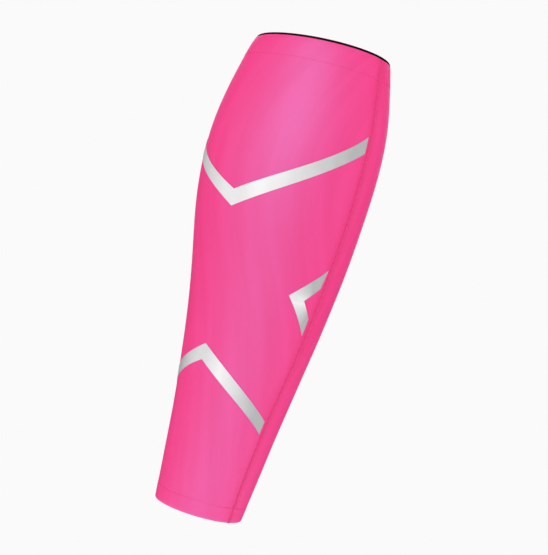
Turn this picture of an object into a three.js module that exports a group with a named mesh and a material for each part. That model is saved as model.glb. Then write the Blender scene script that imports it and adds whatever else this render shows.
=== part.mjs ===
// Calf compression sleeve: a knitted tube in the form it has on a left leg.
// Millimetres, +Z up the leg, +Y to the back of the calf, +X to the outer side.
// The origin is the centre of the knee opening, and the sleeve hangs down from it.

import * as THREE from 'three';

// The knitted tube
const sleeveLength = 330; // with the elastic that shows above the knit
const clothWall = 1.2;
const layerGap = 0.3; // between two pieces that lie against each other

// How far the sleeve's outer face stands from the leg's axis, to each side
const kneeReach = { back: 48.2, outer: 49, front: 45.8, inner: 47 };
const calfReach = { back: 63.1, outer: 65.7, front: 52.8, inner: 56.9 };
const ankleReach = { back: 33.3, outer: 29.7, front: 33.1, inner: 29.1 };

// How far the sleeve has swelled from an end towards the calf's widest place.
// at is a share of the length, from the knee edge down. The other columns are shares of the
// way from the knee (above the widest row) or the ankle (below it) to the calf.
const widestAt = 0.228;
const fullness = [
  { at: 0, outerFront: 0, innerBack: 0 },
  { at: 0.037, outerFront: 0.271, innerBack: 0.275 },
  { at: 0.1, outerFront: 0.6, innerBack: 0.665 },
  { at: 0.164, outerFront: 0.864, innerBack: 0.92 },
  { at: widestAt, outerFront: 1, innerBack: 1 },
  { at: 0.291, outerFront: 0.989, innerBack: 0.984 },
  { at: 0.355, outerFront: 0.924, innerBack: 0.946 },
  { at: 0.418, outerFront: 0.804, innerBack: 0.887 },
  { at: 0.497, outerFront: 0.628, innerBack: 0.796 },
  { at: 0.578, outerFront: 0.472, innerBack: 0.678 },
  { at: 0.658, outerFront: 0.343, innerBack: 0.54 },
  { at: 0.759, outerFront: 0.214, innerBack: 0.367 },
  { at: 0.879, outerFront: 0.098, innerBack: 0.184 },
  { at: 1, outerFront: 0, innerBack: 0 },
];

// The knee edge is a little higher at the back of the inner side
const kneeEdgeRise = 2.8;
const kneeEdgeRiseTurn = -30; // degrees from the back, positive to the outer side
const kneeEdgeRiseFade = 4; // the higher, the sooner the rise fades out down the leg

// The back seam, which closes the tube, runs a little to the inner side of the back
const seamWidth = 1.6;
const seamDip = 0.4; // how far its outer face lies below the sleeve's
const seamLine = [
  { at: 0, turn: -16.2 },
  { at: 0.065, turn: -11.3 },
  { at: 0.156, turn: -9.4 },
  { at: 0.296, turn: -9.8 },
  { at: 0.447, turn: -10.3 },
  { at: 0.598, turn: -9.9 },
  { at: 0.678, turn: -8.8 },
  { at: 0.769, turn: -5.2 },
  { at: 0.879, turn: -3.4 },
  { at: 1, turn: -4.4 },
];

// The elastic inside the knee edge, from the sleeve's top edge down, which the knit leaves bare
// by a little
const gripHeight = 23.5;
const gripThickness = 1;
const gripShows = 1.4;

// The ankle edge, turned in and stitched down
const hemHeight = 13;

// The reflective chevrons, a film on the outer side
const filmThickness = 0.4;
const filmFromSeam = 2.4; // clear of the seam's slot
// turn is in degrees from the film's end at the seam, high and low are the band's edges as
// shares of the length. The row at a point's turn is the point of the chevron.
const upperPointTurn = 77.1;
const lowerPointTurn = 81.7;
const upperChevron = [
  { turn: 0, high: 0.168, low: 0.202 },
  { turn: 15, high: 0.206, low: 0.236 },
  { turn: 31, high: 0.244, low: 0.276 },
  { turn: 46, high: 0.277, low: 0.31 },
  { turn: 61, high: 0.307, low: 0.339 },
  { turn: upperPointTurn, high: 0.337, low: 0.371 },
  { turn: 87, high: 0.321, low: 0.351 },
  { turn: 98, high: 0.3, low: 0.328 },
  { turn: 111, high: 0.279, low: 0.307 },
  { turn: 128, high: 0.244, low: 0.275 },
  { turn: 146, high: 0.206, low: 0.236 },
  { turn: 161, high: 0.168, low: 0.202 },
];
const lowerChevron = [
  { turn: 0, high: 0.776, low: 0.804 },
  { turn: 15, high: 0.755, low: 0.783 },
  { turn: 31, high: 0.731, low: 0.759 },
  { turn: 46, high: 0.708, low: 0.738 },
  { turn: 64, high: 0.681, low: 0.713 },
  { turn: lowerPointTurn, high: 0.652, low: 0.686 },
  { turn: 91, high: 0.668, low: 0.699 },
  { turn: 104, high: 0.686, low: 0.716 },
  { turn: 121, high: 0.708, low: 0.738 },
  { turn: 137, high: 0.731, low: 0.759 },
  { turn: 153, high: 0.755, low: 0.783 },
  { turn: 168, high: 0.776, low: 0.804 },
];
// The side chevron points to the front: its front edge, and its back edge towards the seam
const sideChevron = [
  { frontTurn: 0, frontAt: 0.445, backTurn: 1.7, backAt: 0.485 },
  { frontTurn: 26.5, frontAt: 0.514, backTurn: 13.1, backAt: 0.517 },
  { frontTurn: 2, frontAt: 0.587, backTurn: 2.2, backAt: 0.551 },
];

// How finely the pieces follow the leg
const columnsRound = 56;
const ringsDown = 28;
const bandRings = 3;
const filmColumnStep = 6; // degrees
const filmRows = 2;

const pinkKnit = { color: 0xf35698, roughness: 0.72, metalness: 0 };
const pinkSeam = { color: 0xed3e82, roughness: 0.78, metalness: 0 };
const blackElastic = { color: 0x0d0d0f, roughness: 0.8, metalness: 0 };
const silverFilm = { color: 0xc9cccd, roughness: 0.36, metalness: 0.55 };

const degrees = Math.PI / 180;

// A smooth curve through a column of a table, straight beyond its first and last rows
function along(table, column, at) {
  const last = table.length - 1;
  const slope = (row) => {
    const before = table[Math.max(row - 1, 0)];
    const after = table[Math.min(row + 1, last)];
    return (after[column] - before[column]) / (after.at - before.at);
  };
  const beyond = (row) => table[row][column] + slope(row) * (at - table[row].at);
  if (at <= table[0].at) return beyond(0);
  if (at >= table[last].at) return beyond(last);
  const next = table.findIndex((row) => row.at > at);
  const low = table[next - 1];
  const high = table[next];
  const span = high.at - low.at;
  const t = (at - low.at) / span;
  const ease = t * t * (3 - 2 * t);
  return low[column] * (1 - ease) + high[column] * ease
    + slope(next - 1) * span * t * (1 - t) * (1 - t)
    - slope(next) * span * t * t * (1 - t);
}

function reach(side, at) {
  const end = at < widestAt ? kneeReach : ankleReach;
  const column = side === 'outer' || side === 'front' ? 'outerFront' : 'innerBack';
  return end[side] + (calfReach[side] - end[side]) * along(fullness, column, at);
}

// The two half axes of the quarter ellipse that the leg has at this turn from the back
function halfAxes(turn, at) {
  return {
    across: reach(Math.sin(turn * degrees) > 0 ? 'outer' : 'inner', at),
    deep: reach(Math.cos(turn * degrees) > 0 ? 'back' : 'front', at),
  };
}

// A point of the sleeve's outer face, lifted off it by so many millimetres
function clothPoint(turn, at, lift) {
  const { across, deep } = halfAxes(turn, at);
  const sine = Math.sin(turn * degrees);
  const cosine = Math.cos(turn * degrees);
  const outward = new THREE.Vector2(sine / across, cosine / deep).normalize();
  const x = across * sine + outward.x * lift;
  const y = deep * cosine + outward.y * lift;
  const kneeward = Math.pow(Math.min(Math.max(1 - at, 0), 1), kneeEdgeRiseFade);
  const riseShare = (x * Math.sin(kneeEdgeRiseTurn * degrees)
    + y * Math.cos(kneeEdgeRiseTurn * degrees)) / kneeReach.inner;
  return new THREE.Vector3(x, y, kneeEdgeRise * riseShare * kneeward - sleeveLength * at);
}

// Degrees of turn that cover a distance along the sleeve's face beside the seam
function turnFor(distance, at) {
  const seamTurn = along(seamLine, 'turn', at);
  const { across, deep } = halfAxes(seamTurn, at);
  const perRadian = Math.hypot(across * Math.cos(seamTurn * degrees),
    deep * Math.sin(seamTurn * degrees));
  return distance / perRadian / degrees;
}

// A closed wall from a net of places on the sleeve. Each line of the net holds places
// { turn, at }, and the wall lies between two lifts. A closed net joins its last line to its
// first.
function wallBetween(net, outerLift, innerLift, closed) {
  const points = [];
  const lineLength = net[0].length;
  for (const lift of [outerLift, innerLift]) {
    for (const line of net) {
      for (const place of line) points.push(clothPoint(place.turn, place.at, lift));
    }
  }
  const outer = (line, place) => (line % net.length) * lineLength + place;
  const inner = (line, place) => net.length * lineLength + outer(line, place);
  const triangles = [];
  const quad = (a, b, c, d) => triangles.push(a, b, c, a, c, d);
  const steps = closed ? net.length : net.length - 1;
  for (let i = 0; i < steps; i += 1) {
    for (let j = 0; j < lineLength - 1; j += 1) {
      quad(outer(i, j), outer(i + 1, j), outer(i + 1, j + 1), outer(i, j + 1));
      quad(inner(i, j), inner(i, j + 1), inner(i + 1, j + 1), inner(i + 1, j));
    }
    const end = lineLength - 1;
    quad(outer(i, 0), inner(i, 0), inner(i + 1, 0), outer(i + 1, 0));
    quad(outer(i, end), outer(i + 1, end), inner(i + 1, end), inner(i, end));
  }
  if (!closed) {
    const end = net.length - 1;
    for (let j = 0; j < lineLength - 1; j += 1) {
      quad(outer(0, j), outer(0, j + 1), inner(0, j + 1), inner(0, j));
      quad(outer(end, j), inner(end, j), inner(end, j + 1), outer(end, j + 1));
    }
  }
  const geometry = new THREE.BufferGeometry().setFromPoints(points);
  geometry.setIndex(triangles);
  geometry.computeVertexNormals();
  return geometry;
}

function addPiece(group, name, geometry, finish) {
  const piece = new THREE.Mesh(geometry, new THREE.MeshStandardMaterial(finish));
  piece.name = name;
  group.add(piece);
}

// A net round the leg, between two turns that may change down the leg
function netRound(columns, rings, topAt, bottomAt, fromTurn, toTurn) {
  return Array.from({ length: columns + 1 }, (_, column) => (
    Array.from({ length: rings + 1 }, (__, ring) => {
      const at = topAt + (bottomAt - topAt) * (ring / rings);
      const share = column / columns;
      return { at, turn: fromTurn(at) * (1 - share) + toTurn(at) * share };
    })
  ));
}

// A whole ring, which starts and ends at the back
function wholeRing(rings, topAt, bottomAt) {
  const net = netRound(columnsRound, rings, topAt, bottomAt, () => 0, () => 360);
  net.pop();
  return net;
}

const knitTop = gripShows / sleeveLength;
const seamAt = (at) => along(seamLine, 'turn', at);
const slotHalf = (at) => turnFor(seamWidth / 2 + layerGap, at);
const seamHalf = (at) => turnFor(seamWidth / 2, at);

function sleevePanel() {
  const net = netRound(columnsRound, ringsDown, knitTop, 1,
    (at) => seamAt(at) + slotHalf(at), (at) => seamAt(at) + 360 - slotHalf(at));
  return wallBetween(net, 0, -clothWall, false);
}

function backSeam() {
  const net = netRound(1, ringsDown, knitTop, 1,
    (at) => seamAt(at) - seamHalf(at), (at) => seamAt(at) + seamHalf(at));
  return wallBetween(net, -seamDip, -clothWall, false);
}

function kneeGripBand() {
  const net = wholeRing(bandRings, 0, gripHeight / sleeveLength);
  const outerLift = -clothWall - layerGap;
  return wallBetween(net, outerLift, outerLift - gripThickness, true);
}

function ankleHem() {
  const net = wholeRing(bandRings, 1 - hemHeight / sleeveLength, 1);
  const outerLift = -clothWall - layerGap;
  return wallBetween(net, outerLift, outerLift - clothWall, true);
}

// A film between two edges, each a list of places with its turn counted from the seam
function film(edges) {
  const net = [];
  const place = (edge, other, share) => {
    const at = edge.at + (other.at - edge.at) * share;
    const turn = edge.turn + (other.turn - edge.turn) * share;
    const start = seamAt(at) + slotHalf(at) + turnFor(filmFromSeam, at);
    return { at, turn: start + turn };
  };
  for (let row = 0; row < edges.length; row += 1) {
    const [first, second] = edges[row];
    const next = edges[row + 1];
    const turned = next ? Math.abs(next[0].turn - first.turn) : 0;
    const steps = next ? Math.ceil(turned / filmColumnStep) : 1;
    for (let step = 0; step < steps; step += 1) {
      const share = step / steps;
      const a = next ? mix(first, next[0], share) : first;
      const b = next ? mix(second, next[1], share) : second;
      net.push(Array.from({ length: filmRows + 1 }, (_, i) => place(a, b, i / filmRows)));
    }
  }
  return wallBetween(net, layerGap + filmThickness, layerGap, false);
}

function mix(from, to, share) {
  return {
    at: from.at + (to.at - from.at) * share,
    turn: from.turn + (to.turn - from.turn) * share,
  };
}

function wideChevron(rows) {
  return film(rows.map(({ turn, high, low }) => [{ turn, at: high }, { turn, at: low }]));
}

function sideChevronFilm() {
  return film(sideChevron.map((row) => [
    { turn: row.frontTurn, at: row.frontAt },
    { turn: row.backTurn, at: row.backAt },
  ]));
}

const sleeve = new THREE.Group();
addPiece(sleeve, 'sleeve_panel', sleevePanel(), pinkKnit);
addPiece(sleeve, 'back_seam', backSeam(), pinkSeam);
addPiece(sleeve, 'knee_grip_band', kneeGripBand(), blackElastic);
addPiece(sleeve, 'ankle_hem', ankleHem(), pinkKnit);
addPiece(sleeve, 'reflective_chevron_upper', wideChevron(upperChevron), silverFilm);
addPiece(sleeve, 'reflective_chevron_side', sideChevronFilm(), silverFilm);
addPiece(sleeve, 'reflective_chevron_lower', wideChevron(lowerChevron), silverFilm);

export default sleeve;
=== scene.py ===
import math
import bmesh
import bpy
import numpy as np
from mathutils import Matrix, Vector


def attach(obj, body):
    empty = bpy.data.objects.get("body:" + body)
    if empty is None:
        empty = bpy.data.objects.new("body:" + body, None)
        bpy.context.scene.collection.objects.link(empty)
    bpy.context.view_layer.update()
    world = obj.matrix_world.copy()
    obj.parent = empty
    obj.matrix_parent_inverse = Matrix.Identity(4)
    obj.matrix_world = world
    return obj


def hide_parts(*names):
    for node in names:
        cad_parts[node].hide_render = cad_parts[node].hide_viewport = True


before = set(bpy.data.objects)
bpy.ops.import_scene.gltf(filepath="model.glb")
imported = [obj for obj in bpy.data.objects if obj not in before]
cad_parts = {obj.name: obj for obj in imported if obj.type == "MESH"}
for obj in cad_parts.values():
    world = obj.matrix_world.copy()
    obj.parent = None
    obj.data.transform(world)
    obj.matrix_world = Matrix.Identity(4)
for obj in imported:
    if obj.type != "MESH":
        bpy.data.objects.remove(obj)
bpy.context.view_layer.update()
mm = 0.001  # in metres


# The leg's form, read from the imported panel

legForm = {
    "waves": 8,              # how many waves round the leg the form may have
    "lengthOrder": 13,       # how freely each wave changes down the leg
    "seamOrder": 7,          # how freely the seam bends
    "kneeFade": 4,           # how soon the knee edge's slant fades out down the leg
    "kneeEdgeWithin": 4 * mm,   # the elastic's points so near the top are its edge
    "facing": 0.4,           # a face looks outwards when its normal leans out more than this
    "skinStep": 0.002,       # share of the length over which the skin's lean is taken
    "normalStep": 0.001,     # the same for its outward direction, in radians too
    "shareRounds": 12,       # rounds in which a point's share of the length settles
}


def polar(points):
    return np.arctan2(points[:, 0], points[:, 1])  # 0 at the back, positive to the outer side


def waveBasis(angle, waves):
    columns = [np.ones_like(angle)]
    for k in range(1, waves + 1):
        columns += [np.cos(k * angle), np.sin(k * angle)]
    return np.stack(columns, axis=-1)


def looksOut(normal, centre):
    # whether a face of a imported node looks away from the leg
    return normal.dot(Vector((*centre.xy, 0)).normalized()) > legForm["facing"]


class Leg:
    # angle is round the leg from the back, at is a share of the length from the top edge down

    def __init__(self):
        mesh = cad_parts["sleeve_panel"].data
        outer = [face for face in mesh.polygons if looksOut(face.normal, face.center)]
        points = np.array([mesh.vertices[i].co for face in outer for i in face.vertices])
        self.length = -points[:, 2].min()
        band = np.array([v.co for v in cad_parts["knee_grip_band"].data.vertices])
        top = band[band[:, 2] > -legForm["kneeEdgeWithin"]]
        self.edge = np.linalg.lstsq(top[:, :2], top[:, 2], rcond=None)[0]  # the edge's slant
        angle, at = polar(points), self.shareOf(points)
        self.knitTop = at.min()  # where the knit starts, below the elastic's edge
        lengthBasis = np.polynomial.chebyshev.chebvander(2 * at - 1, legForm["lengthOrder"])
        basis = lengthBasis[:, :, None] * waveBasis(angle, legForm["waves"])[:, None]
        basis = basis.reshape(len(points), -1)
        fit = np.linalg.lstsq(basis, np.hypot(points[:, 0], points[:, 1]), rcond=None)[0]
        self.coefficients = fit.reshape(legForm["lengthOrder"] + 1, -1)

    def height(self, angle, at, radius):
        rise = radius * (self.edge[0] * np.sin(angle) + self.edge[1] * np.cos(angle))
        return rise * np.clip(1 - at, 0, 1) ** legForm["kneeFade"] - self.length * at

    def radius(self, angle, at):
        inside = np.clip(at, self.knitTop, 1)
        waves = np.polynomial.chebyshev.chebval(2 * inside - 1, self.coefficients)
        return (np.moveaxis(waves, 0, -1) * waveBasis(angle, legForm["waves"])).sum(axis=-1)

    def skin(self, angle, at):
        r = self.radius(angle, at)
        step = legForm["skinStep"]
        first, second = 0 * at + self.knitTop, 0 * at + self.knitTop + step
        lean = (self.radius(angle, second) - self.radius(angle, first)) / step
        r = np.where(at < self.knitTop, r + lean * (at - self.knitTop), r)  # straight on above the knit
        return np.stack([r * np.sin(angle), r * np.cos(angle), self.height(angle, at, r)], axis=-1)

    def outward(self, angle, at):
        # level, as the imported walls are
        step = legForm["normalStep"]
        around = self.skin(angle + step, at) - self.skin(angle - step, at)
        down = self.skin(angle, at + step) - self.skin(angle, at - step)
        normal = np.cross(around, down) * [1, 1, 0]
        return normal / np.linalg.norm(normal, axis=-1, keepdims=True)

    def place(self, angle, at, lift):
        # a point so far off the sleeve's outer face
        angle, at, lift = np.broadcast_arrays(np.asarray(angle, float), np.asarray(at, float),
                                              np.asarray(lift, float))
        return self.skin(angle, at) + self.outward(angle, at) * lift[..., None]

    def shareOf(self, points):
        # the share of the length that a point near the skin lies at
        angle = polar(points)
        radius = np.hypot(points[:, 0], points[:, 1])
        at = -points[:, 2] / self.length
        for _ in range(legForm["shareRounds"]):
            at = at + (self.height(angle, at, radius) - points[:, 2]) / self.length
        return at


leg = Leg()


class SeamLine:
    # where the seam runs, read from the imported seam
    def __init__(self):
        points = np.array([v.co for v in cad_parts["back_seam"].data.vertices])
        shares, angles = leg.shareOf(points), polar(points)
        self.fit = np.polynomial.Chebyshev.fit(shares, angles, legForm["seamOrder"], domain=[0, 1])

    def angle(self, at):
        return self.fit(np.clip(at, 0, 1))

    def radius(self, at):
        return leg.radius(self.angle(at), at)


seamLine = SeamLine()
print("leg form read:", round(leg.length / mm), "mm long")


# waves run round the leg and down it, and swell and fade by a beat that sways round the leg
clothWaves = {
    "slow": {"height": 0.14 * mm, "round": 3, "down": 9, "start": 0.7, "beat": 14, "sway": 1.3},
    "quick": {"height": 0.06 * mm, "round": 5, "down": -17, "start": 2.1, "beat": 23, "sway": 2},
}


def drape(angle, at):
    # the faint unevenness of cloth over a leg
    slow, quick = clothWaves["slow"], clothWaves["quick"]
    slowBeat = np.sin(slow["beat"] * at + slow["sway"] * np.cos(angle))
    quickBeat = np.cos(quick["beat"] * at + quick["sway"] * np.sin(angle))
    lift = 0 * at
    for wave, beat in ((slow, slowBeat), (quick, quickBeat)):
        run = np.sin(wave["round"] * angle + wave["down"] * at + wave["start"])
        lift = lift + wave["height"] * run * beat
    return lift


# Finishes

pinkKnit = {
    "deepPink": (0.912, 0.009, 0.156, 1),
    "lightPink": (0.955, 0.022, 0.202, 1),
    "paintedSeamShade": (0.84, 0.001, 0.112, 1),   # painted shade where the cloth dips towards the seam
    "waleWidth": 0.7 * mm,
    "courseHeight": 0.55 * mm,
    "legLean": 0.7,           # how far the two legs of a knit stitch lean
    "courseCrown": 0.25,      # height of a course against that of a wale
    "stitchDepth": 0.05 * mm,
    "stitchStrength": 0.7,
    "streakWidth": 1.6 * mm,
    "streakLength": 45 * mm,
    "bandWidth": 9 * mm,      # broader and fainter streaks, where the knit stretches more
    "bandLength": 150 * mm,
    "clouds": 22,             # to a metre
    "streakShade": 0.7,       # how much each pattern lightens the pink
    "bandShade": 1.6,
    "cloudShade": 0.5,
    # painted shade: the pink is lighter on the stitches' crowns and darker in the gaps between them
    "stitchGapShade": 0.12,
    "shadeStart": 1.0,        # what the patterns add up to where the pink is deepest
    "roughness": 0.46,
    "gloss": 1.0,
    "refraction": 2.0,
    "glossTint": (0.08, 0.5, 1.0, 1),
}
seamKnit = {
    # darker than the panel's pink: the thread's own pink with painted shade of the groove it lies in
    "deepPink": (0.61, 0.007, 0.145, 1),
    "lightPink": (0.77, 0.014, 0.185, 1),
    "grain": 0.35 * mm,
    "grainDepth": 0.1 * mm,
    "grainStrength": 0.6,
    "roughness": 0.6,
    "sheen": 0.1,
}
blackElastic = {
    "dark": (0.0015, 0.0015, 0.002, 1),
    "light": (0.06, 0.06, 0.064, 1),
    "edge": 1.7 * mm,        # the top edge is all dark so far down
    "edgeFade": 1.5,         # and this many times as far down it is as light as the rest
    "ribPitch": 1.1 * mm,
    "ribDepth": 0.12 * mm,
    "ribStrength": 0.6,
    "threadsInRib": 1.7,     # threads that cross the ribs, in the width of one
    "threadHeight": 0.35,    # against a rib's
    "middleShade": 0.4,      # between dark and light, and how far the ribs change it
    "ribShade": 0.3,
    "roughness": 0.75,
    "gloss": 0.2,
}
reflectiveFilm = {
    # silver is the film's grey away from its point; pale is its painted highlight, by its point
    "silver": (0.395, 0.40, 0.405, 1),
    "pale": (0.77, 0.77, 0.775, 1),
    "beadSize": 0.25 * mm,
    "beadDepth": 0.006 * mm,
    "beadStrength": 0.5,
    "cloudSize": 9 * mm,
    "cloudShade": 0.25,
    "roughness": 0.5,
    "roughnessSpread": 0.12,
    "metallic": 0.15,
}


class Finish:
    # a node material, with short ways to add and join its nodes
    def __init__(self, name):
        self.material = bpy.data.materials.new(name)
        self.material.use_nodes = True
        self.nodes = self.material.node_tree.nodes
        self.links = self.material.node_tree.links
        self.nodes.clear()
        self.shader = self.nodes.new("ShaderNodeBsdfPrincipled")
        output = self.nodes.new("ShaderNodeOutputMaterial")
        self.links.new(self.shader.outputs[0], output.inputs[0])

    def add(self, kind, inputs=None, **settings):
        # inputs are named or numbered, and each is a number, a colour or another node's socket
        node = self.nodes.new(kind)
        for key, value in settings.items():
            setattr(node, key, value)
        for key, value in (inputs or {}).items():
            if isinstance(value, bpy.types.NodeSocket):
                self.links.new(value, node.inputs[key])
            else:
                node.inputs[key].default_value = value
        return node

    def calc(self, operation, first, second=0.0, third=0.0):
        return self.add("ShaderNodeMath", {0: first, 1: second, 2: third}, operation=operation).outputs[0]

    def clothPlace(self):
        # the place on the cloth in metres, round the leg and down it
        return self.add("ShaderNodeUVMap", uv_map="cloth").outputs[0]

    def objectPlace(self):
        return self.add("ShaderNodeTexCoord").outputs["Object"]

    def split(self, place):
        return self.add("ShaderNodeSeparateXYZ", {"Vector": place}).outputs

    def noise(self, place, scale, detail, stretch=(1, 1, 1), roughness=0.55):
        moved = self.add("ShaderNodeMapping", {"Vector": place, "Scale": stretch}).outputs[0]
        inputs = {"Vector": moved, "Scale": scale, "Detail": detail, "Roughness": roughness}
        return self.add("ShaderNodeTexNoise", inputs).outputs[0]

    def ramp(self, value, start, end, first=0.0, last=1.0):
        # first where the value is at start, last where it is at end, and even between them
        inputs = {"Value": value, "From Min": start, "From Max": end, "To Min": first, "To Max": last}
        return self.add("ShaderNodeMapRange", inputs).outputs[0]

    def blend(self, factor, first, second):
        # a Mix node's colours are its sockets 6 and 7, and its output 2
        inputs = {0: factor, 6: first, 7: second}
        return self.add("ShaderNodeMix", inputs, data_type="RGBA", clamp_factor=True).outputs[2]

    def bump(self, height, depth, strength):
        node = self.add("ShaderNodeBump", {"Height": height, "Distance": depth, "Strength": strength})
        self.links.new(node.outputs[0], self.shader.inputs["Normal"])

    def plain(self, **values):
        for key, value in values.items():
            self.shader.inputs[key.replace("_", " ")].default_value = value

    def colour(self, socket):
        self.links.new(socket, self.shader.inputs["Base Color"])


def makePinkKnit():
    look = pinkKnit
    finish = Finish("pinkKnit")
    place = finish.clothPlace()
    around, down = finish.split(place)[:2]
    wale = finish.calc("FRACT", finish.calc("DIVIDE", around, look["waleWidth"]))
    side = finish.calc("ABSOLUTE", finish.calc("MULTIPLY_ADD", wale, 2.0, -1.0))  # 0 mid-wale, 1 between
    course = finish.calc("DIVIDE", down, look["courseHeight"])
    leaning = finish.calc("MULTIPLY_ADD", side, -look["legLean"], course)
    loop = finish.calc("COSINE", finish.calc("MULTIPLY", leaning, 2 * math.pi))
    crown = finish.calc("SUBTRACT", 1.0, finish.calc("MULTIPLY", side, side))
    stitch = finish.calc("MULTIPLY_ADD", loop, look["courseCrown"], crown)
    finish.bump(stitch, look["stitchDepth"], look["stitchStrength"])
    streaks = finish.noise(place, 1.0, 3.0, (1 / look["streakWidth"], 1 / look["streakLength"], 1))
    bands = finish.noise(place, 1.0, 1.0, (1 / look["bandWidth"], 1 / look["bandLength"], 1))
    clouds = finish.noise(finish.objectPlace(), look["clouds"], 3.0)
    shade = finish.calc("MULTIPLY", clouds, look["cloudShade"])
    # the stitches' height paints shade into the gaps between them
    for pattern, share in ((streaks, "streakShade"), (bands, "bandShade"), (stitch, "stitchGapShade")):
        shade = finish.calc("MULTIPLY_ADD", pattern, look[share], shade)
    shade = finish.calc("SUBTRACT", shade, look["shadeStart"])
    pink = finish.blend(shade, look["deepPink"], look["lightPink"])
    # painted shade: the pink darkens towards the seam, where the cloth dips and puckers
    seamShadeStrength = finish.add("ShaderNodeAttribute", attribute_name="seamShadeStrength").outputs["Fac"]
    finish.colour(finish.blend(seamShadeStrength, pink, look["paintedSeamShade"]))
    finish.plain(Roughness=look["roughness"], Specular_IOR_Level=look["gloss"])
    finish.plain(Specular_Tint=look["glossTint"], IOR=look["refraction"])
    return finish.material


def makeSeamKnit():
    look = seamKnit
    finish = Finish("seamKnit")
    grain = finish.noise(finish.objectPlace(), 1 / look["grain"], 2.0)
    finish.bump(grain, look["grainDepth"], look["grainStrength"])
    finish.colour(finish.blend(grain, look["deepPink"], look["lightPink"]))
    finish.plain(Roughness=look["roughness"], Sheen_Weight=look["sheen"])
    return finish.material


def makeBlackElastic():
    look = blackElastic
    finish = Finish("blackElastic")
    around, down = finish.split(finish.clothPlace())[:2]
    ribTurn = 2 * math.pi / look["ribPitch"]
    rib = finish.calc("SINE", finish.calc("MULTIPLY", down, ribTurn))
    thread = finish.calc("SINE", finish.calc("MULTIPLY", around, ribTurn * look["threadsInRib"]))
    weave = finish.calc("MULTIPLY_ADD", thread, look["threadHeight"], rib)
    finish.bump(weave, look["ribDepth"], look["ribStrength"])
    shade = finish.calc("MULTIPLY_ADD", weave, look["ribShade"], look["middleShade"])
    shade = finish.calc("MULTIPLY", shade, finish.ramp(down, look["edge"], look["edge"] * look["edgeFade"]))
    finish.colour(finish.blend(shade, look["dark"], look["light"]))
    finish.plain(Roughness=look["roughness"], Specular_IOR_Level=look["gloss"])
    return finish.material


def makeReflectiveFilm():
    look = reflectiveFilm
    finish = Finish("reflectiveFilm")
    place = finish.objectPlace()
    beads = finish.add("ShaderNodeTexVoronoi", {"Vector": place, "Scale": 1 / look["beadSize"]})
    finish.bump(beads.outputs["Distance"], look["beadDepth"], look["beadStrength"])
    clouds = finish.calc("SUBTRACT", finish.noise(place, 1 / look["cloudSize"], 3.0), 0.5)
    # a painted highlight: the film is painted palest by its point and greyer towards its ends
    along = finish.split(finish.clothPlace())[0]
    highlightAndClouds = finish.ramp(finish.calc("ABSOLUTE", along), 0.0, 1.0, 1.0, 0.0)
    highlightAndClouds = finish.calc("MULTIPLY_ADD", clouds, look["cloudShade"], highlightAndClouds)
    finish.colour(finish.blend(highlightAndClouds, look["silver"], look["pale"]))
    roughness = finish.calc("MULTIPLY_ADD", clouds, look["roughnessSpread"], look["roughness"])
    finish.links.new(roughness, finish.shader.inputs["Roughness"])
    finish.plain(Metallic=look["metallic"])
    return finish.material


finishes = {
    "pink_knit": makePinkKnit(),
    "seam_knit": makeSeamKnit(),
    "black_elastic": makeBlackElastic(),
    "reflective_film": makeReflectiveFilm(),
}
print("finishes made")


# Cloth walls that follow the leg

def finishMesh(name, points, faces, places, slot, node):
    # places holds the cloth place of each point, in metres round the leg and down it
    mesh = bpy.data.meshes.new(name)
    mesh.from_pydata([tuple(p) for p in points], [], faces)
    layer = mesh.uv_layers.new(name="cloth")
    corners = np.zeros(len(mesh.loops), np.int32)
    mesh.loops.foreach_get("vertex_index", corners)
    layer.data.foreach_set("uv", places[corners].astype(np.float32).ravel())
    mesh.polygons.foreach_set("use_smooth", [True] * len(mesh.polygons))
    mesh.validate()
    mesh.update()
    piece = bpy.data.objects.new(name, mesh)
    bpy.context.scene.collection.objects.link(piece)
    piece.data.materials.append(finishes[slot])
    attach(piece, "root")
    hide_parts(node)
    return piece


def wallPiece(name, angles, shares, outer, inner, closed, slot, node):
    # every array is columns by rows: columns go round the leg and rows go down it
    columns, rows = angles.shape
    outside = leg.place(angles, shares, outer)
    inside = leg.place(angles, shares, inner)
    points = np.concatenate([outside.reshape(-1, 3), inside.reshape(-1, 3)])
    steps = np.linalg.norm(np.diff(outside, axis=0), axis=-1)
    around = np.concatenate([np.zeros((1, rows)), np.cumsum(steps, axis=0)])
    around -= around[columns // 2]
    down = np.broadcast_to(shares * leg.length, angles.shape)
    places = np.stack([around, down], axis=-1).reshape(-1, 2)
    places = np.concatenate([places, places])
    index = np.arange(columns * rows).reshape(columns, rows)
    nextColumn = np.roll(index, -1, axis=0)
    if not closed:
        index, nextColumn = index[:-1], nextColumn[:-1]
    a, b = index[:, :-1].ravel(), nextColumn[:, :-1].ravel()
    c, d = nextColumn[:, 1:].ravel(), index[:, 1:].ravel()
    back = columns * rows
    quads = [np.stack([a, b, c, d], 1), np.stack([d, c, b, a], 1) + back]
    low, lowNext = index[:, -1], nextColumn[:, -1]
    top, topNext = index[:, 0], nextColumn[:, 0]
    quads.append(np.stack([low, lowNext, lowNext + back, low + back], 1))
    quads.append(np.stack([top, top + back, topNext + back, topNext], 1))
    if not closed:
        first = np.arange(rows)
        last = first + (columns - 1) * rows
        quads.append(np.stack([first[:-1], first[1:], first[1:] + back, first[:-1] + back], 1))
        quads.append(np.stack([last[:-1], last[:-1] + back, last[1:] + back, last[1:]], 1))
    faces = np.concatenate(quads).tolist()
    return finishMesh(name, points, faces, places, slot, node)


def bell(distance, width):
    return np.exp(-(distance / width) ** 2)


def smooth(value):
    value = np.clip(value, 0, 1)
    return value * value * (3 - 2 * value)


def roundEnd(distance, radius):
    # how far a rounded edge has fallen in, so far from its end
    inside = np.clip(radius - distance, 0, radius)
    return radius - np.sqrt(np.maximum(radius ** 2 - inside ** 2, 0))


def rowsDown(count, extra):
    # shares from the knit's top edge to the ankle
    rows = np.concatenate([np.linspace(sleevePanel["kneeEdge"], leg.length, count)] + extra)
    return np.unique(np.round(rows, 7)) / leg.length


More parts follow.
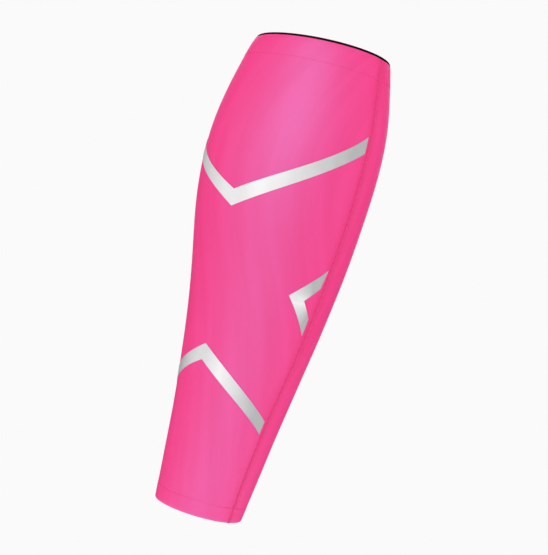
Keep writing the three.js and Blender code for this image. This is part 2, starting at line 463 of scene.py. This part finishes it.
sleevePanel = {
    "wall": 1.2 * mm,
    "seamGap": 1.0 * mm,       # from the seam's middle to the panel's edge
    "edgeRoll": 0.4 * mm,
    "troughDepth": 0.34 * mm,  # the cloth sinks towards the seam
    "troughReach": 4 * mm,
    "columns": 112,
    "rows": 250,
    "puckerPitch": 4.6 * mm,
    "puckerDepth": 0.24 * mm,
    "puckerReach": 3 * mm,
    "puckerWobbles": ((0.5, 17 * mm, 0), (0.3, 7.3 * mm, 1)),   # turn, length and start of each
    "shadeReach": 3.6 * mm,    # how far the painted shade beside the seam goes
    "shadeWaver": 0.3,         # how much weaker it is between two puckers
    "kneeEdge": 1.55 * mm,     # from the top edge down to the knit
    "kneeStitch": 16.2 * mm,   # from the top edge
    "ankleStitch": 11 * mm,    # from the ankle edge
    "stitchGroove": 0.12 * mm,
    "grooveWidth": 0.55 * mm,
    "grooveRows": 9,           # rows of points across a groove, and how far to each side
    "grooveSpan": 1.2 * mm,
    "doubleCloth": 0.12 * mm,  # how much a hem stands out over its inner layer
    "hemStep": 1 * mm,         # over which it falls back
    "kneeRound": 0.45 * mm,
    "fold": 2.7 * mm,          # the ankle fold's whole thickness
    "foldHeight": 0.8 * mm,    # up to here panel and hem are one fold
    "thinnest": 0.04 * mm,
}


def fromSeam(angle, at):
    # the distance to the seam's middle, round the leg
    turn = (angle - seamLine.angle(at) + math.pi) % (2 * math.pi) - math.pi
    return np.abs(turn) * seamLine.radius(at)


def clothLift(angle, at):
    # the knit's outer face over the leg's form: hems, stitch grooves, seam edges and drape
    look = sleevePanel
    down = at * leg.length
    up = leg.length - down
    lift = drape(angle, at)
    for distance, line in ((down, look["kneeStitch"]), (up, look["ankleStitch"])):
        lift = lift - look["stitchGroove"] * bell(distance - line, look["grooveWidth"])
        lift = lift + look["doubleCloth"] * (1 - smooth((distance - line) / look["hemStep"] + 0.5))
    beside = np.maximum(fromSeam(angle, at) - look["seamGap"], 0)
    wobble = sum(turn * np.sin(down / length + start) for turn, length, start in look["puckerWobbles"])
    wave = 0.5 + 0.5 * np.cos(2 * math.pi * down / look["puckerPitch"] + wobble)
    pulled = look["puckerDepth"] * wave * np.exp(-beside / look["puckerReach"])
    trough = look["troughDepth"] * bell(beside, look["troughReach"])
    return lift - pulled - trough - roundEnd(beside, look["edgeRoll"])


def makePanel():
    look = sleevePanel
    # columns beside the seam and rows at both ends, closer together where the cloth rolls in
    near = np.array([0, 0.03, 0.1, 0.22, 0.4, 0.65, 1.0, 1.5, 2.2, 3.1, 4.2, 5.5, 7.0]) * mm
    grooveRows = np.linspace(-look["grooveSpan"], look["grooveSpan"], look["grooveRows"])
    endRows = np.array([0.04, 0.15, 0.35, 0.7, 1.1]) * mm
    top = look["kneeEdge"]
    rows = rowsDown(look["rows"], [look["kneeStitch"] + grooveRows, top + endRows, leg.length - endRows,
                                   leg.length - look["ankleStitch"] + grooveRows])
    start = (look["seamGap"] + near[:, None]) / seamLine.radius(rows)
    far = np.linspace(0, 1, look["columns"])[1:-1, None]
    between = start[-1] + (2 * math.pi - 2 * start[-1]) * far
    turns = np.concatenate([start, between, 2 * math.pi - start[::-1]])
    angles = seamLine.angle(rows) + turns
    shares = np.broadcast_to(rows, angles.shape)
    down = shares * leg.length
    up = leg.length - down
    outer = clothLift(angles, shares) - roundEnd(down - top, look["kneeRound"])
    outer = outer - roundEnd(up, look["fold"] / 2)
    inner = drape(angles, shares) - np.where(up < look["foldHeight"], look["fold"] / 2, look["wall"])
    outer = np.maximum(outer, inner + look["thinnest"])
    piece = wallPiece("sleevePanel", angles, shares, outer, inner, False, "pink_knit", "sleeve_panel")
    # how strong the painted shade beside the seam is, for both sides of the cloth
    waver = 1 - look["shadeWaver"] * (0.5 - 0.5 * np.cos(2 * math.pi * down / look["puckerPitch"]))
    shade = (bell(fromSeam(angles, shares), look["shadeReach"]) * waver).ravel()
    layer = piece.data.attributes.new("seamShadeStrength", "FLOAT", "POINT")
    layer.data.foreach_set("value", np.concatenate([shade, shade]).astype(np.float32))
    return piece


backSeam = {
    "halfWidth": 0.98 * mm,
    "dip": 0.42 * mm,         # its middle lies so far under the cloth's form
    "crown": 0.14 * mm,
    "innerCrown": 0.1 * mm,
    "knotPitch": 2.3 * mm,
    "knotDepth": 0.07 * mm,
    "columns": 7,
    "rows": 420,
}


def makeBackSeam():
    look = backSeam
    rows = rowsDown(look["rows"], [])
    across = np.linspace(-1, 1, look["columns"])[:, None]
    angles = seamLine.angle(rows) + across * look["halfWidth"] / seamLine.radius(rows)
    shares = np.broadcast_to(rows, angles.shape)
    down = shares * leg.length
    turned = 2 * math.pi * (down + across * look["halfWidth"]) / look["knotPitch"]
    middle = 1 - across ** 2
    base = drape(angles, shares)
    outer = base - look["dip"] - look["crown"] * across ** 2 + look["knotDepth"] * np.cos(turned) * middle
    inner = base - sleevePanel["wall"] - look["innerCrown"] * middle
    return wallPiece("backSeam", angles, shares, outer, inner, False, "seam_knit", "back_seam")


def ringAngles(columns, rows):
    angles = np.linspace(0, 2 * math.pi, columns, endpoint=False)[:, None]
    return np.broadcast_to(angles, (columns, rows))


kneeGripBand = {
    "height": 23.5 * mm,
    "shows": 1.5 * mm,        # above the pink edge
    "shownDepth": 0.04 * mm,  # how far the part that shows lies under the knit's outer face
    "hiddenDepth": 1.5 * mm,  # and the part under the knit
    "thickness": 1 * mm,
    "edgeRound": 0.2 * mm,
    "ribPitch": 1.1 * mm,
    "ribDepth": 0.1 * mm,
    "outerRibs": 0.3,         # the ribs' depth outside, as a share
    "stepHeight": 0.01 * mm,  # between the part that shows and the part under the knit
    "plainEdge": 0.5 * mm,    # the lower edge has no ribs
    "columns": 180,
    "rowsInRib": 4,
}


def makeKneeGripBand():
    look = kneeGripBand
    ends = np.array([0, 0.02, 0.06, 0.12, 0.2]) * mm
    step = look["ribPitch"] / look["rowsInRib"]
    shown = [ends, [look["shows"] / 2], look["shows"] - ends[::-1]]
    hidden = [np.arange(look["shows"] + look["stepHeight"], look["height"] - look["plainEdge"], step),
              look["height"] - ends[::-1]]
    down = np.unique(np.concatenate(shown + hidden))
    angles = ringAngles(look["columns"], len(down))
    shares = np.broadcast_to(down / leg.length, angles.shape)
    topFall = roundEnd(down, look["edgeRound"])
    lowFall = roundEnd(look["height"] - down, look["edgeRound"])
    ribs = look["ribDepth"] * (0.5 + 0.5 * np.cos(2 * math.pi * down / look["ribPitch"]))
    base = drape(angles, shares)
    bead = look["shownDepth"] + topFall + roundEnd(look["shows"] - down, look["edgeRound"])
    covered = look["hiddenDepth"] + lowFall + look["outerRibs"] * ribs
    outer = np.where(down <= look["shows"], bead, covered)
    inner = look["hiddenDepth"] + look["thickness"] - topFall - lowFall - ribs
    return wallPiece("kneeGripBand", angles, shares, base - outer, base - inner, True,
                     "black_elastic", "knee_grip_band")


ankleHem = {
    "height": 13 * mm,
    "depth": 1.5 * mm,        # from the knit's outer face in to the hem's
    "edgeRound": 0.4 * mm,
    "footGap": 0.02 * mm,     # to the panel in the fold
    "footEdge": 0.06 * mm,    # left flat at the foot of the fold
    "grooveDepth": 0.15 * mm,
    "middleStart": 1.8 * mm,  # up from the ankle edge
    "middleEnd": 1 * mm,      # down from the hem's own top
    "middleRows": 12,
    "columns": 150,
}


def makeAnkleHem():
    look = ankleHem
    half = sleevePanel["fold"] / 2
    ends = np.array([0, 0.05, 0.15, 0.35, 0.7, 1.1]) * mm
    middle = np.linspace(look["middleStart"], look["height"] - look["middleEnd"], look["middleRows"])
    up = np.concatenate([ends, middle, look["height"] - ends[3::-1]])[::-1]
    angles = ringAngles(look["columns"], len(up))
    shares = np.broadcast_to(1 - up / leg.length, angles.shape)
    base = drape(angles, shares)
    top = roundEnd(look["height"] - up, look["edgeRound"])
    inFold = up < sleevePanel["foldHeight"]
    outer = base - np.where(inFold, half + look["footGap"], look["depth"]) - top
    groove = look["grooveDepth"] * bell(up - sleevePanel["ankleStitch"], sleevePanel["grooveWidth"])
    inner = base - 2 * half + top + groove + roundEnd(up, half - look["footEdge"])
    return wallPiece("ankleHem", angles, shares, outer, inner, True, "pink_knit", "ankle_hem")


panel = makePanel()
seam = makeBackSeam()
gripBand = makeKneeGripBand()
hem = makeAnkleHem()
print("cloth pieces made:", len(panel.data.polygons), "faces on the panel")


# Reflective chevrons, pressed onto the knit

chevronFilm = {
    "bottom": 0.02 * mm,     # over the knit
    "top": 0.24 * mm,
    "edgeRound": 0.12 * mm,
    "merge": 0.001 * mm,     # packed points so close are one
    "cornerTurn": 25,        # degrees that a corner of the outline turns, at the least
    "along": 70,             # columns in each limb
    "across": 12,
}
# where a film's painted highlight is palest, counted from its point, and how far from there it is greyest,
# both as
# shares of a limb: below 0 lies on the limb that runs to the seam, or the side film's lower limb
filmHighlights = {
    "upperChevron": {"palest": -0.14, "fade": 0.68},
    "sideChevron": {"palest": -0.1, "fade": 0.6},
    "lowerChevron": {"palest": -0.22, "fade": 0.55},
}


def filmOutline(node):
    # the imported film's outer edge, as points in angle and share, in order round it
    shape = bmesh.new()
    shape.from_mesh(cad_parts[node].data)
    bmesh.ops.remove_doubles(shape, verts=shape.verts, dist=chevronFilm["merge"])
    shape.normal_update()
    points = np.array([v.co for v in shape.verts])
    angle, at = polar(points), leg.shareOf(points)
    outer = {face for face in shape.faces if looksOut(face.normal, face.calc_center_median())}
    nextPoint = {}
    for face in outer:
        for loop in face.loops:
            if not all(f in outer for f in loop.edge.link_faces):
                nextPoint[loop.vert.index] = loop.link_loop_next.vert.index
    shape.free()
    order = [min(nextPoint)]
    while nextPoint[order[-1]] != order[0]:
        order.append(nextPoint[order[-1]])
    return np.stack([angle[order], at[order]], axis=-1)


def smoothEdge(points, size):
    # a smooth curve from the first point to the last, as a function of the share along it
    steps = np.linalg.norm(np.diff(points, axis=0) * size, axis=-1)
    s = np.concatenate([[0], np.cumsum(steps)]) / steps.sum()
    line = points[0] + (points[-1] - points[0]) * s[:, None]
    bend = (s * (1 - s))[:, None] * np.stack([np.ones_like(s), s], axis=-1)
    weights = np.linalg.lstsq(bend, points - line, rcond=None)[0] if len(s) > 2 else np.zeros((2, 2))

    def place(share):
        share = np.asarray(share)[..., None]
        curve = share * (1 - share) * (weights[0] + weights[1] * share)
        return points[0] + (points[-1] - points[0]) * share + curve
    return place


def layPlaces(piece, alongs, across):
    # the film's own map is 0 where its painted highlight is palest, and -1 and 1 where it is greyest
    places = np.stack(np.meshgrid(alongs, across, indexing="ij"), axis=-1).reshape(-1, 2)
    places = np.concatenate([places, places])
    corners = np.zeros(len(piece.data.loops), np.int32)
    piece.data.loops.foreach_get("vertex_index", corners)
    piece.data.uv_layers["cloth"].data.foreach_set("uv", places[corners].astype(np.float32).ravel())


def filmSides(node):
    # the six sides of a film's outline, and how long a radian round the leg and its length are
    outline = filmOutline(node)
    size = np.array([leg.radius(outline[:, 0], outline[:, 1]).mean(), leg.length])
    flat = outline * size
    before = flat - np.roll(flat, 1, axis=0)
    after = np.roll(flat, -1, axis=0) - flat
    turned = np.arctan2(before[:, 0] * after[:, 1] - before[:, 1] * after[:, 0], (before * after).sum(1))
    corners = np.flatnonzero(np.abs(turned) > math.radians(chevronFilm["cornerTurn"]))
    if len(corners) != 6:
        raise SystemExit(f"{node}: {len(corners)} corners")
    sides = []
    for a, b in zip(corners, np.roll(corners, -1)):
        last = b if b > a else b + len(outline)
        sides.append(outline[np.arange(a, last + 1) % len(outline)])
    return sides, size


def filmNet(node):
    # points over a film, in angle and share: two limbs that meet at a point, between smooth edges
    sides, size = filmSides(node)
    lengths = [np.linalg.norm(np.diff(side * size, axis=0), axis=-1).sum() for side in sides]
    end = int(np.argmin([lengths[i] + lengths[i + 3] for i in range(3)]))   # the short sides are ends
    firstEdge = [smoothEdge(sides[(end + i) % 6], size) for i in (1, 2)]
    secondEdge = [smoothEdge(sides[(end + i) % 6][::-1], size) for i in (5, 4)]
    length = np.mean([lengths[(end + i) % 6] for i in (1, 2, 4, 5)])
    width = np.mean([lengths[end], lengths[end + 3]])
    near = np.array([0, 0.02, 0.05, 0.09, 0.14]) * mm
    along = np.unique(np.concatenate([near / length, np.linspace(0, 1, chevronFilm["along"])]))
    across = np.linspace(0, 1, chevronFilm["across"])
    across = np.unique(np.concatenate([near / width, across, 1 - near / width]))
    first = np.concatenate([firstEdge[0](along), firstEdge[1](1 - along[::-1])[1:]])
    second = np.concatenate([secondEdge[0](along), secondEdge[1](1 - along[::-1])[1:]])
    net = first[:, None] + (second - first)[:, None] * across[None, :, None]
    if np.cross(net[1, 0] - net[0, 0], net[0, 1] - net[0, 0]) < 0:
        net = net[:, ::-1]   # so that its faces look outwards
    return net, along, across, width


def makeChevron(name, node):
    look = chevronFilm
    net, along, across, width = filmNet(node)
    angles, shares = net[..., 0], net[..., 1]
    placed = leg.place(angles, shares, 0)
    gaps = np.linalg.norm(np.diff(placed[:, 0], axis=0), axis=-1)
    run = np.concatenate([[0], np.cumsum(gaps)])
    fromEnds = np.minimum(run, run[-1] - run)[:, None]
    fromSides = np.minimum(across, 1 - across)[None] * width
    fall = roundEnd(np.minimum(fromEnds, fromSides), look["edgeRound"])
    cloth = clothLift(angles, shares)
    piece = wallPiece(name, angles, shares, cloth + look["top"] - fall, cloth + look["bottom"], False,
                      "reflective_film", node)
    fromPoint = np.concatenate([-along[::-1], along[1:]])
    shade = filmHighlights[name]
    layPlaces(piece, (fromPoint - shade["palest"]) / shade["fade"], across)
    return piece


chevrons = [
    makeChevron("upperChevron", "reflective_chevron_upper"),
    makeChevron("sideChevron", "reflective_chevron_side"),
    makeChevron("lowerChevron", "reflective_chevron_lower"),
]
print("chevrons made")


# Stitches

stitching = {
    "kneeLength": 2.1 * mm,
    "kneePitch": 2.8 * mm,
    "ankleLength": 2.1 * mm,
    "anklePitch": 2.8 * mm,
    "thread": 0.34 * mm,
    "lift": 0.02 * mm,        # of a stitch's middle over the cloth in its groove
    "seamClear": 4 * mm,      # from the seam's middle to a row's first stitch
    "aheadTurn": 0.01,        # radians and share of the length over which a row's direction is taken
    "aheadShare": 0.002,
    "segments": 8,
    "rings": 6,
    "seamPitch": 2.3 * mm,
    "seamLength": 2.5 * mm,
    "seamThread": 0.3 * mm,
    "seamSlant": 24,          # degrees off straight across
    "seamLift": -0.36 * mm,   # of a stitch's middle over the cloth's form
}


def stitchTree(finish):
    # one rounded stitch on every point, laid along the point's direction
    tree = bpy.data.node_groups.new("stitches", "GeometryNodeTree")
    face = tree.interface
    face.new_socket("Geometry", in_out="INPUT", socket_type="NodeSocketGeometry")
    face.new_socket("Length", in_out="INPUT", socket_type="NodeSocketFloat")
    face.new_socket("Thread", in_out="INPUT", socket_type="NodeSocketFloat")
    face.new_socket("Geometry", in_out="OUTPUT", socket_type="NodeSocketGeometry")
    nodes, join = tree.nodes, tree.links.new
    given = nodes.new("NodeGroupInput")
    ball = nodes.new("GeometryNodeMeshUVSphere")
    ball.inputs["Segments"].default_value = stitching["segments"]
    ball.inputs["Rings"].default_value = stitching["rings"]
    ball.inputs["Radius"].default_value = 0.5  # one unit long, so that the sizes scale it
    turn = nodes.new("FunctionNodeAxesToRotation")
    turn.primary_axis = "X"
    turn.secondary_axis = "Z"
    for name, socket in (("direction", 0), ("outward", 1)):
        named = nodes.new("GeometryNodeInputNamedAttribute")
        named.data_type = "FLOAT_VECTOR"
        named.inputs["Name"].default_value = name
        join(named.outputs["Attribute"], turn.inputs[socket])
    size = nodes.new("ShaderNodeCombineXYZ")
    join(given.outputs["Length"], size.inputs["X"])
    join(given.outputs["Thread"], size.inputs["Y"])
    join(given.outputs["Thread"], size.inputs["Z"])
    spread = nodes.new("GeometryNodeInstanceOnPoints")
    join(given.outputs["Geometry"], spread.inputs["Points"])
    join(ball.outputs["Mesh"], spread.inputs["Instance"])
    join(turn.outputs["Rotation"], spread.inputs["Rotation"])
    join(size.outputs["Vector"], spread.inputs["Scale"])
    real = nodes.new("GeometryNodeRealizeInstances")
    join(spread.outputs["Instances"], real.inputs["Geometry"])
    paint = nodes.new("GeometryNodeSetMaterial")
    paint.inputs["Material"].default_value = finish
    join(real.outputs["Geometry"], paint.inputs["Geometry"])
    result = nodes.new("NodeGroupOutput")
    join(paint.outputs["Geometry"], result.inputs["Geometry"])
    return tree


def stitchPiece(name, points, directions, outwards, length, thread, slot):
    mesh = bpy.data.meshes.new(name + "Points")
    mesh.from_pydata([tuple(p) for p in points], [], [])
    for key, vectors in (("direction", directions), ("outward", outwards)):
        layer = mesh.attributes.new(key, "FLOAT_VECTOR", "POINT")
        layer.data.foreach_set("vector", np.asarray(vectors, np.float32).ravel())
    maker = bpy.data.objects.new(name + "Maker", mesh)
    bpy.context.scene.collection.objects.link(maker)
    tree = stitchTree(finishes[slot])
    modifier = maker.modifiers.new("stitches", "NODES")
    modifier.node_group = tree
    for item in tree.interface.items_tree:
        if item.in_out == "INPUT" and item.name in ("Length", "Thread"):
            modifier[item.identifier] = {"Length": length, "Thread": thread}[item.name]
    evaluated = maker.evaluated_get(bpy.context.evaluated_depsgraph_get())
    made = bpy.data.meshes.new_from_object(evaluated)
    bpy.data.objects.remove(maker)
    made.name = name
    made.polygons.foreach_set("use_smooth", [True] * len(made.polygons))
    piece = bpy.data.objects.new(name, made)
    bpy.context.scene.collection.objects.link(piece)
    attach(piece, "root")
    return piece


def rowOfStitches(name, line, pitch, length):
    # a row round the leg, so far down from the top edge
    look = stitching
    at = line / leg.length
    around = 2 * math.pi * leg.radius(np.array([0.0]), np.array([at]))[0]
    count = int(around / pitch)
    gap = look["seamClear"] / (around / 2 / math.pi)
    angles = seamLine.angle(np.array([at])) + np.linspace(gap, 2 * math.pi - gap, count)
    shares = np.full(count, at)
    lift = clothLift(angles, shares) + look["lift"]
    points = leg.place(angles, shares, lift)
    ahead = leg.place(angles + look["aheadTurn"], shares, lift)
    return stitchPiece(name, points, ahead - points, leg.outward(angles, shares), length,
                       look["thread"], "pink_knit")


def seamStitches():
    look = stitching
    count = int(leg.length / look["seamPitch"])
    shares = (np.arange(count) + 0.5) / count
    angles = seamLine.angle(shares)
    lift = drape(angles, shares) + look["seamLift"]
    points = leg.place(angles, shares, lift)
    outward = leg.outward(angles, shares)
    down = leg.place(angles, shares + look["aheadShare"], lift) - points
    down /= np.linalg.norm(down, axis=-1, keepdims=True)
    across = np.cross(outward, down)
    slant = math.radians(look["seamSlant"])
    return stitchPiece("seamStitches", points, across * math.cos(slant) + down * math.sin(slant), outward,
                       look["seamLength"], look["seamThread"], "seam_knit")


stitches = [
    rowOfStitches("kneeStitches", sleevePanel["kneeStitch"], stitching["kneePitch"],
                  stitching["kneeLength"]),
    rowOfStitches("ankleStitches", leg.length - sleevePanel["ankleStitch"], stitching["anklePitch"],
                  stitching["ankleLength"]),
    seamStitches(),
]
print("stitches made")


# Camera, stage and light

view = {
    "turn": 140,             # degrees round the leg from the front
    "roll": 15.4,            # degrees that the leg leans right
    "distance": 0.9152,      # from the leg's axis
    "middle": Vector((0, 0, -0.1642)),
    "aimRight": 9.08 * mm,
    "aimUp": 1.33 * mm,
    "lens": 85,
    "nearest": 0.05,         # what is nearer isn't seen
}


def makeCamera():
    turn, roll = math.radians(view["turn"]), math.radians(view["roll"])
    toCamera = Vector((math.sin(turn), -math.cos(turn), 0))
    level = Vector((math.cos(turn), math.sin(turn), 0))
    right = level * math.cos(roll) + Vector((0, 0, math.sin(roll)))
    up = Vector((0, 0, math.cos(roll))) - level * math.sin(roll)
    place = view["middle"] + toCamera * view["distance"]
    aim = view["middle"] + right * view["aimRight"] + up * view["aimUp"]
    back = (place - aim).normalized()
    side = up.cross(back).normalized()
    camera = bpy.data.objects.new("camera", bpy.data.cameras.new("camera"))
    camera.data.lens = view["lens"]
    camera.data.clip_start = view["nearest"]
    bpy.context.scene.collection.objects.link(camera)
    turned = Matrix((side, back.cross(side), back)).transposed().to_4x4()
    camera.matrix_world = Matrix.Translation(place) @ turned
    bpy.context.scene.camera = camera
    return toCamera


toCamera = makeCamera()

stage = {
    "floorHeight": -0.62,
    "floorRadius": 0.8,
    "floorFade": 0.35,       # the share of the radius over which it fades out
    "floorShade": (0.86, 0.86, 0.87, 1),
    "floorRoughness": 0.9,
    "floorSides": 96,
    "backdrop": (0.955, 0.955, 0.955, 1),
    "dome": (0.96, 0.96, 0.96, 1),        # on matt surfaces
    "domeGloss": (0.03, 0.03, 0.03, 1),   # in reflections
}


def makeFloor():
    shape = bmesh.new()
    bmesh.ops.create_circle(shape, cap_ends=True, segments=stage["floorSides"],
                            radius=stage["floorRadius"])
    mesh = bpy.data.meshes.new("floor")
    shape.to_mesh(mesh)
    shape.free()
    mesh.transform(Matrix.Translation((0, 0, stage["floorHeight"])))
    floor = bpy.data.objects.new("floor", mesh)
    bpy.context.scene.collection.objects.link(floor)
    finish = Finish("floor")
    finish.plain(Base_Color=stage["floorShade"], Roughness=stage["floorRoughness"])
    x, y = finish.split(finish.objectPlace())[:2]
    squared = finish.calc("ADD", finish.calc("POWER", x, 2.0), finish.calc("POWER", y, 2.0))
    out = finish.calc("DIVIDE", finish.calc("SQRT", squared), stage["floorRadius"])
    fade = finish.ramp(out, 1 - stage["floorFade"], 1.0, 1.0, 0.0)
    finish.links.new(fade, finish.shader.inputs["Alpha"])
    mesh.materials.append(finish.material)


def makeWorld():
    world = bpy.data.worlds.new("studio")
    bpy.context.scene.world = world
    world.use_nodes = True
    nodes, join = world.node_tree.nodes, world.node_tree.links.new
    nodes.clear()
    seen = nodes.new("ShaderNodeBackground")
    seen.inputs["Color"].default_value = stage["backdrop"]
    dome = nodes.new("ShaderNodeBackground")
    dome.inputs["Color"].default_value = stage["dome"]
    gloss = nodes.new("ShaderNodeBackground")
    gloss.inputs["Color"].default_value = stage["domeGloss"]
    ray = nodes.new("ShaderNodeLightPath")
    glossy = nodes.new("ShaderNodeMixShader")
    join(ray.outputs["Is Glossy Ray"], glossy.inputs[0])
    join(dome.outputs[0], glossy.inputs[1])
    join(gloss.outputs[0], glossy.inputs[2])
    choose = nodes.new("ShaderNodeMixShader")
    output = nodes.new("ShaderNodeOutputWorld")
    join(ray.outputs["Is Camera Ray"], choose.inputs[0])
    join(glossy.outputs[0], choose.inputs[1])
    join(seen.outputs[0], choose.inputs[2])
    join(choose.outputs[0], output.inputs[0])


lampDistance = 1.5  # from the leg's middle
# side is in degrees round the leg from the camera, rise in degrees above level
lamps = {
    "front": {"side": -12, "rise": 24, "wide": 1.35, "tall": 2.2, "power": 9.8, "glossy": True},
    "back": {"side": 180, "rise": 24, "wide": 1.35, "tall": 2.2, "power": 9.8, "glossy": True},
    "left": {"side": -85, "rise": 15, "wide": 1.2, "tall": 1.2, "power": 4.5, "glossy": False},
    "right": {"side": 85, "rise": 15, "wide": 1.2, "tall": 1.2, "power": 7.5, "glossy": False},
}


def makeLamp(name, lamp):
    light = bpy.data.lights.new(name, "AREA")
    light.shape = "ELLIPSE"
    light.size = lamp["wide"]
    light.size_y = lamp["tall"]
    light.energy = lamp["power"]
    holder = bpy.data.objects.new(name, light)
    bpy.context.scene.collection.objects.link(holder)
    holder.visible_glossy = lamp["glossy"]
    turn, rise = math.radians(lamp["side"]), math.radians(lamp["rise"])
    level = Vector((-toCamera.y, toCamera.x, 0))
    outward = (toCamera * math.cos(turn) + level * math.sin(turn)) * math.cos(rise)
    outward.z = math.sin(rise)
    holder.location = view["middle"] + outward * lampDistance
    holder.rotation_euler = outward.to_track_quat("Z", "Y").to_euler()


makeFloor()
makeWorld()
for name, lamp in lamps.items():
    makeLamp(name, lamp)
bpy.context.scene.view_settings.view_transform = "Standard"
print("camera, stage and light set")
